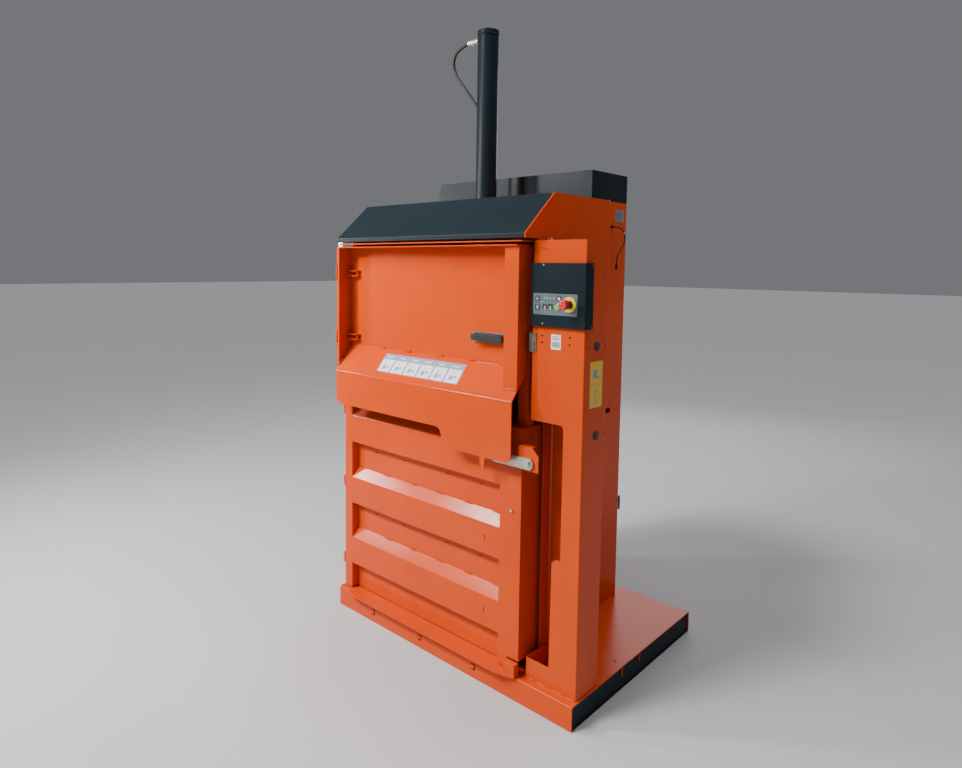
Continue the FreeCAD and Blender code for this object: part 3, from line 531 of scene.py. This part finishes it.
def column_labels():
    """Plain labels with bars, discs and lines: two on the column and a metal plate on the wall."""
    face = ((0.571, column_lo[1], 1.497), X, Z, -Y)
    flat("front_label", face, [bar(0, 0.046, 0, 0.059)], "white", "frame", 0.3 * MM)
    marks = [bar(0.007, 0.039, 0.050 - 0.006 * k, 0.0525 - 0.006 * k) for k in range(3)]
    marks += [bar(0.007 + 0.006 * k, 0.0105 + 0.006 * k, 0.008, 0.030) for k in range(6)]
    flat("front_label_marks", face, marks, "black", "frame", 0.5 * MM)
    face = ((column_hi[0], -0.422, 1.274), Y, Z, X)
    flat("side_label", face, [bar(0, 0.090, 0, 0.182)], "yellow", "frame", 0.3 * MM)
    marks = [bar(0.004, 0.086, 0.0905, 0.0918), disc(0.080, 0.150, 0.0035),
             disc(0.080, 0.104, 0.0035), bar(0.022, 0.050, 0.118, 0.150),
             bar(0.054, 0.066, 0.112, 0.124)]
    marks += [bar(0.030, 0.030 + w, 0.075 - 0.012 * k, 0.079 - 0.012 * k)
              for k, w in enumerate((0.016, 0.030, 0.010, 0.026, 0.018, 0.034))]
    flat("side_label_marks", face, marks, "slate", "frame", 0.5 * MM)
    face = ((wall_face, 0.340, 2.050), Y, Z, X)
    flat("rating_plate", face, [bar(0, 0.085, 0, 0.057)], "plate", "frame", 0.8 * MM)
    marks = [bar(0.008, 0.008 + w, 0.046 - 0.009 * k, 0.0485 - 0.009 * k)
             for k, w in enumerate((0.040, 0.066, 0.052, 0.066, 0.030))]
    flat("rating_plate_marks", face, marks, "black", "frame", 1.0 * MM)


def keypad():
    """Signs on the keys, thin lines above and below three of them, and five small domed lamps."""
    face = ((0, keypad_face - 0.8 * MM, 0), X, Z, -Y)
    icons = [arrow(0.548, 1.664, 0.0045), arrow(0.574, 1.666, 0.0045, -1),
             bar(0.507, 0.517, 1.694, 1.698), disc(0.512, 1.663, 0.004),
             bar(0.609, 0.619, 1.695, 1.703)]
    icons += [bar(0.543, 0.553, 1.655, 1.6575), bar(0.569, 0.579, 1.657, 1.6595)]
    flat("key_icons", face, icons, "white", "frame", 0.4 * MM)
    rims = []
    for x, z in ((0.512, 1.696), (0.512, 1.663), (0.614, 1.699)):
        rims += [bar(x - 0.008, x + 0.008, z + 0.0065, z + 0.0072),
                 bar(x - 0.008, x + 0.008, z - 0.0072, z - 0.0065)]
    flat("key_rims", face, rims, "pale", "frame", 0.3 * MM)
    dome = [(0.0032, 0), (0.0032, 0.0006), (0.0024, 0.0014), (0.0008, 0.0018)]
    spots = [(0.546, 1.699), (0.560, 1.699), (0.574, 1.699), (0.590, 1.699), (0.534, 1.684)]
    grids = [turned((x, keypad_face, z), -Y, dome, 18) for x, z in spots]
    mesh_piece("status_lamps", grids, inks["lamp"], "frame")


def stop_marks():
    """Three raised arcs on the mushroom's face, a third of a turn apart, and a plain skirt round it."""
    x, y, z = (stop_lo[0] + stop_hi[0]) / 2, stop_lo[1] + 0.2 * MM, (stop_lo[2] + stop_hi[2]) / 2
    arc_r, points = 0.0085, 9
    grids = []
    for k in range(3):
        t = np.linspace(0, 0.9, points) + k * 2 * math.pi / 3
        line = np.stack([x + arc_r * np.cos(t), np.full(points, y), z + arc_r * np.sin(t)], 1)
        grids += [weld(a, b, 0.0007, 0) for a, b in zip(line[:-1], line[1:])]
    mesh_piece("stop_button_marks", grids, inks["white"], "stop_button")
    collar_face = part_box("stop_collar")[0][1]
    skirt = [(0.0145, 0), (0.0165, 0.001), (0.0165, 0.010), (0.0150, 0.012), (0.0135, 0.012)]
    mesh_piece("stop_skirt", [turned((x, collar_face, z), -Y, skirt, 48, "looped")],
               finishes["black_plastic"], "frame")


# ---------------------------------------------------------------- hoses and leads

def hydraulic_hose():
    """The hose from the cylinder's cap down to the roof, and its crimped sleeves: a stepped profile,
    turned."""
    route = [(-0.228, -0.054, 2.945), (-0.336, -0.054, 2.945), (-0.392, -0.040, 2.845),
             (-0.274, -0.020, 2.695), (-0.190, 0.010, 2.560), (-0.184, 0.018, 2.400),
             (-0.186, 0.018, 2.260), (-0.186, 0.018, 2.165)]
    hose = flexible("pressure_hose", route, 0.016, "frame", "hydraulic_hose",
                    finishes["black_rubber"])
    crimp = [(0.0075, -0.004), (0.0125, -0.002), (0.0130, 0.002), (0.0118, 0.004),
             (0.0118, 0.010), (0.0128, 0.012), (0.0128, 0.018), (0.0118, 0.020),
             (0.0118, 0.026), (0.0126, 0.028), (0.0126, 0.034), (0.0088, 0.038)]
    grids = [turned((-0.226, -0.054, 2.945), -X, crimp, 32, "looped"),
             turned((-0.186, 0.018, 2.163), Z, crimp, 32, "looped")]
    sleeves = mesh_piece("hose_sleeves", grids, finishes["zinc_steel"], "frame")


def wall_lead():
    """The lead from the wall's gland to its loose plug, with a tie a third of the way along."""
    x = wall_face
    route = [(x + 0.008, 0.306, 2.022), (x + 0.044, 0.306, 2.022), (x + 0.048, 0.345, 2.000),
             (x + 0.046, 0.365, 1.955), (x + 0.042, 0.335, 1.915), (x + 0.040, 0.296, 1.880),
             (x + 0.040, 0.296, 1.838)]
    cable = flexible("spare_lead", route, 0.006, "frame", "wall_lead", finishes["black_rubber"])
    line = smooth_line(route)
    spot = len(line) // 3
    along = line[spot + 1] - line[spot]
    ring = [(0.0030, -0.003), (0.0042, -0.0025), (0.0042, 0.0025), (0.0030, 0.003)]
    tie = mesh_piece("lead_tie", [turned(line[spot], along, ring, 20, "looped")], inks["tie"],
                     "frame")


# ---------------------------------------------------------------- camera, light and floor

def camera():
    """The camera: its place, its turn by yaw, pitch and roll, and its reach and shift."""
    place = Vector((2.1300, -2.6946, 1.8221))
    yaw, pitch, roll, reach = 0.7569, 0.0743, 0.0112, 683.25
    look = Vector((-math.sin(yaw) * math.cos(pitch), math.cos(yaw) * math.cos(pitch),
                   -math.sin(pitch)))
    level = Vector((math.cos(yaw), math.sin(yaw), 0))
    above = level.cross(look)
    right = math.cos(roll) * level + math.sin(roll) * above
    up = math.cos(roll) * above - math.sin(roll) * level
    data = bpy.data.cameras.new("camera")
    data.sensor_width = SENSOR_WIDTH
    data.lens = reach / VIEW_WIDTH * SENSOR_WIDTH
    data.shift_x = 0.0314
    data.shift_y = -0.07
    thing = bpy.data.objects.new("camera", data)
    turn = Matrix((right, up, -look)).transposed().to_4x4()
    thing.matrix_world = Matrix.Translation(place) @ turn
    bpy.context.collection.objects.link(thing)
    bpy.context.scene.camera = thing


def lamp(name, place, target, size, power, colour=(1, 1, 1)):
    """A soft rectangular lamp that faces its target."""
    data = bpy.data.lights.new(name, "AREA")
    data.shape = "RECTANGLE"
    data.size, data.size_y = size
    data.energy = power
    data.color = colour
    thing = bpy.data.objects.new(name, data)
    thing.location = place
    thing.rotation_euler = (Vector(target) - Vector(place)).to_track_quat("-Z", "Y").to_euler()
    bpy.context.collection.objects.link(thing)


def studio():
    """Soft lamps, two small ones for the glow on the ribs' slopes, a wide sun and a pale sky."""
    warm = (1.0, 0.98, 0.95)
    lamp("key", (-1.7, -4.1, 4.7), (-0.1, -0.5, 1.2), (1.5, 1.1), 150)
    lamp("slope_glow_right", (-1.75, -2.35, 2.85), (0.3, -0.45, 0.7), (0.30, 0.30), 72, warm)
    lamp("slope_glow_left", (-3.25, -2.05, 2.45), (-0.6, -0.45, 0.7), (0.32, 0.30), 66, warm)
    lamp("front", (0.2, -6.5, 2.0), (0.1, -0.5, 1.3), (3.0, 2.5), 10)
    lamp("side", (5.5, 1.5, 2.2), (0.3, 0.0, 1.0), (2.5, 2.5), 4)
    lamp("base_light", (1.3, 0.3, 4.9), (0.62, 0.2, 0.0), (0.8, 0.8), 42)
    lamp("top", (0.0, 0.5, 5.6), (0.0, 0.0, 1.0), (3.0, 3.0), 34)
    lamp("back", (-2.0, 5.0, 3.0), (-0.1, 0.4, 1.2), (3.0, 2.5), 60)
    sun = bpy.data.lights.new("sky_panel", "SUN")
    sun.energy = 1.95
    sun.angle = math.radians(14)
    thing = bpy.data.objects.new("sky_panel", sun)
    thing.rotation_euler = Vector((0.40, 0.95, -1.15)).to_track_quat("-Z", "Y").to_euler()
    bpy.context.collection.objects.link(thing)
    world = bpy.data.worlds.new("studio")
    world.use_nodes = True
    sky = world.node_tree.nodes["Background"]
    sky.inputs["Color"].default_value = (0.93, 0.95, 1.0, 1)
    sky.inputs["Strength"].default_value = 0.19
    bpy.context.scene.world = world


def floor():
    """A wide pale floor, which is no part of the baler."""
    p = Paint("pale_floor", Specular_IOR_Level=0.3)
    cloud = p.noise(1.2, 4.0)
    finish = p.finish(Base_Color=p.mix(cloud, (0.50, 0.50, 0.51), (0.54, 0.54, 0.55)),
                      Roughness=0.6 + cloud * 0.1)
    data = bpy.data.meshes.new("floor")
    half = 60.0
    corners = [(-half, -half, 0), (half, -half, 0), (half, half, 0), (-half, half, 0)]
    data.from_pydata(corners, [], [(0, 1, 2, 3)])
    data.materials.append(finish)
    thing = bpy.data.objects.new("floor", data)
    bpy.context.collection.objects.link(thing)


camera()
hydraulic_hose()
wall_lead()
rib_tabs()
hatch_tabs()
frame_welds()
cylinder_trim()
chute_label()
column_labels()
keypad()
stop_marks()
studio()
floor()

bpy.context.view_layer.update()
